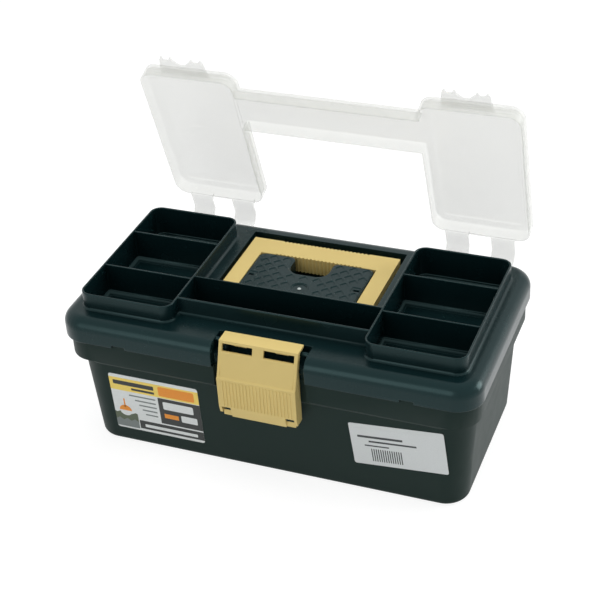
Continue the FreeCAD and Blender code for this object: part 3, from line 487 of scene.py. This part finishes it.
points = [Vector(p) for loop in loops for p in loop]
sides, first = [], 0
for loop in loops:
    sides += [(first + i, first + (i + 1) % len(loop)) for i in range(len(loop))]
    first += len(loop)
flat, _, faces, _, _, _ = delaunay_2d_cdt(points, sides, [], 0, EXACT)
grid = bmesh.new()
top = [grid.verts.new(on_island(p.x, p.y, RAISED)) for p in flat]
for face in faces:
    centre = sum((flat[i] for i in face), Vector((0, 0))) / len(face)
    if inside(*centre, outline) and not any(inside(*centre, loop) for loop in loops[1:]):
        grid.faces.new([top[i] for i in face])
first = 0
for number, loop in enumerate(loops):
    foot = grown(loop, SLOPE if number == 0 else -SLOPE)
    low = [grid.verts.new(on_island(x, y, SUNK)) for x, y in foot]
    for i in range(len(loop)):
        j = (i + 1) % len(loop)
        grid.faces.new((top[first + i], low[i], low[j], top[first + j]))
    first += len(loop)
bmesh.ops.recalc_face_normals(grid, faces=grid.faces)
print(len(grid.faces), "faces in the lattice")
lattice = piece_from(grid, "island_lattice")
lattice.data.materials.append(lid_plastic)
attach(lattice, "lid")

# %% [markdown]
# ## Coves in the corners
# Where a wall meets a floor the steel is rounded, or the moulding would crack there. So
# each compartment has a cove of 3.2 mm along its floor, and the trays have a smaller one
# along their foot. They are the soft light lines in the corners. A cove is a concave strip,
# swept round a closed outline: its section is an arc with two sides that sink into the
# plastic. The strip is wide, so here the loop is moved with mitred corners, which keep its
# sides parallel.

# %% Mitred loops and corners
FACETS = 5


def mitred(loop, way):
    """The loop moved out by way in mm, with its sides kept parallel."""
    moved = []
    for i, point in enumerate(loop):
        here = Vector(point)
        before, after = Vector(loop[i - 1]), Vector(loop[(i + 1) % len(loop)])
        two_sides = (here - before, after - here)
        normals = [Vector((side.y, -side.x)).normalized() for side in two_sides]
        mitre = (normals[0] + normals[1]) / (1 + normals[0].dot(normals[1]))
        moved.append(tuple(here + mitre * way))
    return moved


def corner(x, y, radius, start):
    """A quarter turn about (x, y), anticlockwise from start; radius 0 gives one point."""
    if radius == 0:
        return [(x, y)]
    turns = [math.radians(start + 90 * i / FACETS) for i in range(FACETS + 1)]
    return [(x + radius * math.cos(t), y + radius * math.sin(t)) for t in turns]


print("a round corner has", len(corner(0, 0, 1, 0)), "points")

# %% [markdown]
# The section starts and ends 0.3 mm inside the plastic, so that the strip's edges never
# show as a line of their own.

# %% Coves round closed outlines
SINK = -0.3


def coves(name, loops, floor_height, radius, outward):
    """A concave strip round each anticlockwise loop, on its outer or its inner side."""
    arc = [math.radians(90 * i / FACETS) for i in range(FACETS + 1)]
    curve = [(radius * (1 - math.cos(t)), radius * (1 - math.sin(t))) for t in arc]
    section = [(SINK, radius)] + curve + [(radius, SINK), (SINK, SINK)]
    grid = bmesh.new()
    for loop in loops:
        rings = []
        for out, up in section:
            ring = mitred(loop, out if outward else -out)
            places = [Vector((x, y, floor_height + up)) * MM for x, y in ring]
            rings.append([grid.verts.new(place) for place in places])
        for k, ring in enumerate(rings):
            after = rings[(k + 1) % len(rings)]
            for i in range(len(ring)):
                j = (i + 1) % len(ring)
                face = grid.faces.new((ring[i], ring[j], after[j], after[i]))
                face.smooth = 0 < k <= FACETS
    bmesh.ops.recalc_face_normals(grid, faces=grid.faces)
    piece = piece_from(grid, name)
    piece.data.materials.append(lid_plastic)
    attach(piece, "lid")
    print(f"{name}: {len(piece.data.polygons)} faces")

# %% [markdown]
# The outer corners of a tray are round and the corners at a divider are square. So a cell
# is drawn from its four corners, with one radius for the front pair and one for the back.

# %% The compartments' coves
def cell(left, low, right, high, low_round, high_round):
    """A compartment's outline, with one radius for its front and one for its back corners."""
    return (corner(right - low_round, low + low_round, low_round, 270)
            + corner(right - high_round, high - high_round, high_round, 0)
            + corner(left + high_round, high - high_round, high_round, 90)
            + corner(left + low_round, low + low_round, low_round, 180))


ROUND, SQUARE = 7.2, 0
CELL_FLOOR = 104.0
CELL_COVE = 3.2
cells = [cell(-73.3, -50.4, 73.3, -22.3, SQUARE, SQUARE)]
for left, right in ((75.0, 146.2), (-146.2, -75.0)):
    cells += [cell(left, -65.35, right, -24.95, ROUND, SQUARE),
              cell(left, -23.45, right, 25.0, SQUARE, SQUARE),
              cell(left, 26.5, right, 63.65, SQUARE, ROUND)]
coves("compartment_coves", cells, CELL_FLOOR, CELL_COVE, outward=False)

# %% [markdown]
# Outside, both trays and the trough stand on the lid as one block, so one outline goes
# round all three: round the right tray, along the back of the trough, round the left tray
# and back along the trough's front. The ledge there is as high as the island's top.

# %% The trays' coves
NEAR, FAR, FRONT, BACK_END, TURN = 73.4, 147.8, -66.95, 65.25, 8.8
TROUGH_FRONT, TROUGH_BACK = -52.0, -20.7
TRAY_COVE = 1.5
right_tray = (corner(NEAR + TURN, FRONT + TURN, TURN, 180)
              + corner(FAR - TURN, FRONT + TURN, TURN, 270)
              + corner(FAR - TURN, BACK_END - TURN, TURN, 0)
              + corner(NEAR + TURN, BACK_END - TURN, TURN, 90))
left_tray = [(-x, -y + FRONT + BACK_END) for x, y in right_tray]
foot = ([(NEAR, TROUGH_FRONT)] + right_tray + [(NEAR, TROUGH_BACK), (-NEAR, TROUGH_BACK)]
        + left_tray + [(-NEAR, TROUGH_FRONT)])
coves("tray_foot_coves", [foot], ISLAND_TOP, TRAY_COVE, outward=True)

# %% [markdown]
# ## The gate mark
# Where the melt entered the tool, the runner was cut off and left a small pale, stress-
# whitened dot in its dimple. It is a shallow rounded button.

# %% The gate mark
gate_plastic = grained_plastic(
    "stress_whitened_polypropylene", "#AEB8B6", "#DCE2E0", rough=0.5, grain=0.6, bump=0.4,
    shine=0.4, veil=0.0)
BUTTON_RADIUS, BUTTON_FOOT, BUTTON_TOP, BUTTON_DRAFT = 1.5, -0.2, 0.3, 0.5
gate = thin_shapes("gate_mark", [ring_of(BUTTON_RADIUS, 20)], on_island,
                   BUTTON_FOOT, BUTTON_TOP, BUTTON_DRAFT)
gate.data.materials.append(gate_plastic)
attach(gate, "lid")
print("the gate mark has", len(gate.data.polygons), "faces")

# %% [markdown]
# ## The two labels
# A printed vinyl label sits low on the left of the front, and a plain paper label on the
# right. Both lie on the wall, which leans out by four degrees, so a point of a label is
# given by how far it is across and up the wall. Each ink is its own thin layer, 0.02 mm
# above the one below, so that no two surfaces fight for the same place.

# %% A point on the front wall
WALL_FOOT = 71.0
LEAN = math.tan(math.radians(4))
LABEL_HEIGHT = 60


def on_wall(x, z, lift):
    """A point on the front wall, x across and z up, lifted off it, all in mm."""
    return Vector((x, -(WALL_FOOT + z * LEAN) - lift, z)) * MM


print(f"the wall leans out {LABEL_HEIGHT * LEAN:.1f} mm over {LABEL_HEIGHT} mm of height")

# %% [markdown]
# ### Printed vinyl and paper
# Screen-printed vinyl is smooth, with a slight orange peel and a soft gloss; its inks
# differ only in colour. Thermal paper is matt, with fibres about 0.5 mm long, drawn at
# 0.8 mm so that they show as a faint mottle.

# %% Printed vinyl and paper
WEAR, LIFT_OF_BLACK = 0.86, 0.01


def printed(name, code, rough, fibre, bump):
    """A printed layer: its colour is mottled by the fibre or orange-peel, in mm."""
    material, tree, place = new_material(name)
    mottle = add(tree, "ShaderNodeTexNoise", {}, {
        "Vector": place, "Scale": 1 / (fibre * MM), "Detail": 3.0})
    ink = linear(code)
    worn = tuple(c * WEAR + LIFT_OF_BLACK for c in ink[:3]) + (1.0,)
    tone = add(tree, "ShaderNodeMix", {"data_type": "RGBA"}, {
        0: mottle.outputs["Fac"], 6: worn, 7: ink})
    gloss = add(tree, "ShaderNodeMapRange", {}, {
        "Value": mottle.outputs["Fac"], "To Min": rough - 0.06, "To Max": rough + 0.06})
    relief = add(tree, "ShaderNodeBump", {}, {
        "Height": mottle.outputs["Fac"], "Strength": bump, "Distance": 0.03 * MM})
    surface = add(tree, "ShaderNodeBsdfPrincipled", {}, {
        "Base Color": tone.outputs[2], "Roughness": gloss.outputs["Result"],
        "Normal": relief.outputs["Normal"], "IOR": 1.5, "Specular IOR Level": 0.4})
    add(tree, "ShaderNodeOutputMaterial", {}, {"Surface": surface.outputs["BSDF"]})
    return material


VINYL = {"rough": 0.35, "fibre": 1.5, "bump": 0.2}
PAPER = {"rough": 0.6, "fibre": 0.8, "bump": 0.3}
white_vinyl = printed("white_vinyl_film", "#EDF1F0", **VINYL)
yellow_ink = printed("yellow_screen_ink", "#FFE06C", **VINYL)
orange_ink = printed("orange_screen_ink", "#F79A28", **VINYL)
dark_ink = printed("black_screen_ink", "#1E2422", **VINYL)
grey_ink = printed("grey_screen_ink", "#7C8583", **VINYL)
green_ink = printed("green_screen_ink", "#56624A", **VINYL)
paper = printed("thermal_paper", "#E0E4E4", **PAPER)
toner = printed("thermal_print_black", "#3A3F40", **PAPER)
print("eight printed finishes")

# %% [markdown]
# ### The vinyl label's design
# The design is a plain one of bands and a fishing float on waves. It has no words: short
# rules stand where a label would carry its lines of print.

# %% The vinyl label
LEFT, LOW, RIGHT_END, HIGH = -127.0, 14.0, -53.5, 68.0
FILM = 0.12
INK = 0.02
EDGE_DRAFT = 0.05


def label_point(across, down):
    """A point of the vinyl label, with both numbers running from 0 to 1."""
    return LEFT + (RIGHT_END - LEFT) * across, HIGH - (HIGH - LOW) * down


def block(a, b, c, d, radius=0.3):
    """A printed rectangle from (a, b) to (c, d) of the label, down from its top left."""
    left, high = label_point(a, b)
    right, low = label_point(c, d)
    return rounded_box(left, low, right, high, radius, 2)


def printed_layer(name, outlines, place, level, material):
    """One ink on a label, so many levels of ink above the film."""
    foot = FILM + level * INK
    piece = thin_shapes(name, outlines, place, foot, foot + INK)
    piece.data.materials.append(material)
    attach(piece, "tub")


film = thin_shapes("vinyl_label", [rounded_box(LEFT, LOW, RIGHT_END, HIGH, 2.0)],
                   on_wall, 0.0, FILM, EDGE_DRAFT)
film.data.materials.append(white_vinyl)
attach(film, "tub")
print(f"the vinyl label is {RIGHT_END - LEFT} x {HIGH - LOW} mm")

# %% [markdown]
# The bands, panels and rules are given as shares of the label, from 0 at its top left
# corner to 1 at its bottom right one, so that they move with it. Two inks of the same
# level never overlap, and what lies on a band is one level higher.

# %% The label's bands
printed_layer("vinyl_label_yellow", [block(0, 0.06, 1, 0.29, 0.1)], on_wall, 0, yellow_ink)
dark_blocks = [block(0.53, 0.3, 1, 0.775, 0.1), block(0.27, 0.80, 1, 0.955, 0.1)]
printed_layer("vinyl_label_black", dark_blocks, on_wall, 0, dark_ink)
orange = [block(0.55, 0.09, 0.95, 0.26, 1.2), block(0.58, 0.58, 0.74, 0.66)]
printed_layer("vinyl_label_orange", orange, on_wall, 1, orange_ink)
rules = [block(0.04, 0.11, 0.5, 0.185, 0.6), block(0.24, 0.215, 0.5, 0.255)]
printed_layer("vinyl_label_black_rules", rules, on_wall, 1, dark_ink)
white = [block(0.58, 0.36, 0.92, 0.50, 1.0), block(0.77, 0.56, 0.95, 0.68, 0.8),
         block(0.33, 0.86, 0.93, 0.915, 0.5)]
printed_layer("vinyl_label_white_rules", white, on_wall, 1, white_vinyl)
grey = [block(0.5 - length, 0.345 + 0.078 * i, 0.5, 0.37 + 0.078 * i)
        for i, length in enumerate((0.3, 0.24, 0.2, 0.17, 0.14))]
printed_layer("vinyl_label_grey_rules", grey, on_wall, 0, grey_ink)
print(len(dark_blocks + orange + rules + white + grey) + 1, "bands, panels and rules")

# %% [markdown]
# The float is a common sign of the sport and belongs to nobody: a round body, white below
# and orange above, with a thin antenna, on two rows of waves.

# %% The float and the waves
WATER_END = 0.26
CRESTS = 3
WAVE_POINTS = 12
DISC_STEPS = 14
FLOAT_RADIUS = 5.2


def wave(high, low, swell, phase):
    """A band of water from the label's left edge, with a waved upper line."""
    top = []
    for i in range(WAVE_POINTS + 1):
        rise = swell * math.sin(phase + 2 * math.pi * CRESTS * i / WAVE_POINTS)
        top.append(label_point(WATER_END * i / WAVE_POINTS, high + rise))
    return top + [label_point(WATER_END, low), label_point(0, low)]


def disc(across, down, radius, start, end):
    """Part of a disc of the label, from one angle to another."""
    x, z = label_point(across, down)
    turns = [math.radians(start + (end - start) * i / DISC_STEPS) for i in range(DISC_STEPS + 1)]
    return [(x + radius * math.cos(t), z + radius * math.sin(t)) for t in turns]


printed_layer("vinyl_label_water", [wave(0.70, 0.97, 0.015, 0.0)], on_wall, 0, green_ink)
printed_layer("vinyl_label_waves", [wave(0.83, 0.97, 0.02, 1.6)], on_wall, 1, grey_ink)
antenna = block(0.122, 0.44, 0.138, 0.6, 0.2)
printed_layer("vinyl_label_float_top", [disc(0.13, 0.66, FLOAT_RADIUS, 0, 180), antenna],
              on_wall, 2, orange_ink)
printed_layer("vinyl_label_float_foot", [disc(0.13, 0.66, FLOAT_RADIUS, 180, 360)],
              on_wall, 2, white_vinyl)
print(f"the float is {2 * FLOAT_RADIUS} mm wide")

# %% [markdown]
# ### The paper label
# The paper label was put on by hand and sits a few degrees off level. It carries three
# short rules and a block of plain upright ticks.

# %% The paper label
TILT = math.radians(5.0)
PAPER_WIDE, PAPER_HIGH = 71.0, 38.5
PAPER_X, PAPER_Z = 101.1, 48.7
TICK_STEP = 1.7


def on_paper(u, v, lift):
    """A point of the tilted paper label, in mm from its middle."""
    x = PAPER_X + u * math.cos(TILT) - v * math.sin(TILT)
    z = PAPER_Z + u * math.sin(TILT) + v * math.cos(TILT)
    return on_wall(x, z, lift)


half_wide, half_high = PAPER_WIDE / 2, PAPER_HIGH / 2
edge_line = rounded_box(-half_wide, -half_high, half_wide, half_high, 1.6)
sheet = thin_shapes("paper_label", [edge_line], on_paper, 0.0, FILM, EDGE_DRAFT)
sheet.data.materials.append(paper)
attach(sheet, "tub")
lines = [rounded_box(-30, 6.4, 4, 8.4, 0.4, 2), rounded_box(-22, 2.4, 14, 4.0, 0.4, 2),
         rounded_box(-25.5, -1.4, -7, -0.2, 0.3, 2)]
ticks = [rounded_box(-21 + TICK_STEP * i, -15.5, -20.2 + TICK_STEP * i, -3.6, 0.1, 1)
         for i in range(14)]
printed_layer("paper_label_print", lines + ticks, on_paper, 0, toner)
print(f"{len(ticks)} ticks on the paper label")

# %% [markdown]
# ## Floor and light
# The box stands on a white sweep. A strength of 1 is white. The floor shows the camera,
# anything clear and every reflection a diffuse part plus a steady glow, which add up to
# about 1 where no shadow falls, and to less where the box keeps the light off. For light
# that bounces from it, it is plain white paper.

# %% What sees the white
def sees_white(tree):
    """1 for the camera, for clear things and for reflections, and 0 for other rays."""
    ray = add(tree, "ShaderNodeLightPath")
    clear = add(tree, "ShaderNodeMath", {"operation": "MAXIMUM"}, {
        0: ray.outputs["Is Camera Ray"], 1: ray.outputs["Is Transmission Ray"]})
    seen = add(tree, "ShaderNodeMath", {"operation": "MAXIMUM"}, {
        0: clear.outputs[0], 1: ray.outputs["Is Glossy Ray"]})
    return seen.outputs[0]


print("the floor and the room share one switch")

# %% The floor
FLOOR_GLOW = 0.86
floor_white, tree, place = new_material("white_paper_sweep")
mottle = add(tree, "ShaderNodeTexNoise", {}, {"Vector": place, "Scale": 3.0})
white_tone = add(tree, "ShaderNodeMix", {"data_type": "RGBA"}, {
    0: mottle.outputs["Fac"], 6: linear("#F2F2F2"), 7: linear("#F6F6F6")})
matt = add(tree, "ShaderNodeBsdfDiffuse", {}, {"Color": white_tone.outputs[2]})
dim = add(tree, "ShaderNodeBsdfDiffuse", {}, {"Color": linear("#909090")})
glow = add(tree, "ShaderNodeEmission", {}, {"Color": linear("#FFFFFF"), "Strength": FLOOR_GLOW})
both = add(tree, "ShaderNodeAddShader", {}, {
    0: dim.outputs["BSDF"], 1: glow.outputs["Emission"]})
mixed = add(tree, "ShaderNodeMixShader", {}, {
    0: sees_white(tree), 1: matt.outputs["BSDF"], 2: both.outputs["Shader"]})
add(tree, "ShaderNodeOutputMaterial", {}, {"Surface": mixed.outputs["Shader"]})

FLOOR = 6.0
grid = bmesh.new()
bmesh.ops.create_grid(grid, x_segments=8, y_segments=8, size=FLOOR)
floor = piece_from(grid, "floor")
floor.data.materials.append(floor_white)
print(f"floor {2 * FLOOR:.0f} m wide")

# %% [markdown]
# Three soft boxes light the box: the main one overhead and slightly behind it, one to the
# right that opens up the side wall, and a weak one in front. An area light of power P at
# distance d lights a facing surface by P / (pi d^2), and a surface shows its own colour
# where that comes to pi. So each lamp's power follows from the share of full light that it
# should give. The overhead one is left out of reflections, so that it draws no outline on
# the satin plastic.

# %% Lamps
def soft_box(name, place, aim, size, share, mirrored=True):
    """A square area light that gives the aim this share of full light."""
    way = Vector(aim) - Vector(place)
    lamp = bpy.data.lights.new(name, "AREA")
    lamp.size = size
    lamp.energy = share * math.pi ** 2 * way.length ** 2
    box_light = bpy.data.objects.new(name, lamp)
    box_light.location = place
    box_light.rotation_euler = way.to_track_quat("-Z", "Y").to_euler()
    box_light.visible_glossy = mirrored
    bpy.context.scene.collection.objects.link(box_light)
    print(f"{name}: {lamp.energy:.0f} W")


MIDDLE = (0.0, 0.0, 0.08)
soft_box("overhead_soft_box", (0.1, 0.25, 1.8), MIDDLE, 1.5, 0.70, mirrored=False)
soft_box("right_soft_box", (1.5, 0.75, 0.55), MIDDLE, 0.9, 0.5)
soft_box("front_fill", (-0.5, -1.8, 0.9), MIDDLE, 1.2, 0.2)

# %% [markdown]
# Round the floor is the room, which the world's shader draws. The camera, anything clear
# and every reflection see it as a white backdrop of strength 1. The light that it gives is
# a dim even grey, because the soft boxes do the work.

# %% The backdrop and the room
world = bpy.data.worlds.new("paper_backdrop_room")
bpy.context.scene.world = world
world.use_nodes = True
tree = world.node_tree
tree.nodes.clear()
room = add(tree, "ShaderNodeBackground", {}, {"Color": linear("#A6A8A8"), "Strength": 0.7})
white = add(tree, "ShaderNodeBackground", {}, {"Color": linear("#FFFFFF"), "Strength": 1.0})
final = add(tree, "ShaderNodeMixShader", {}, {
    0: sees_white(tree), 1: room.outputs["Background"], 2: white.outputs["Background"]})
add(tree, "ShaderNodeOutputWorld", {}, {"Surface": final.outputs["Shader"]})
print("the paper backdrop is white all round")

# %% [markdown]
# ## Colour management and the end
# The Standard view shows colours as they are written.

# %% Finish
bpy.context.scene.view_settings.view_transform = "Standard"
bpy.context.view_layer.update()
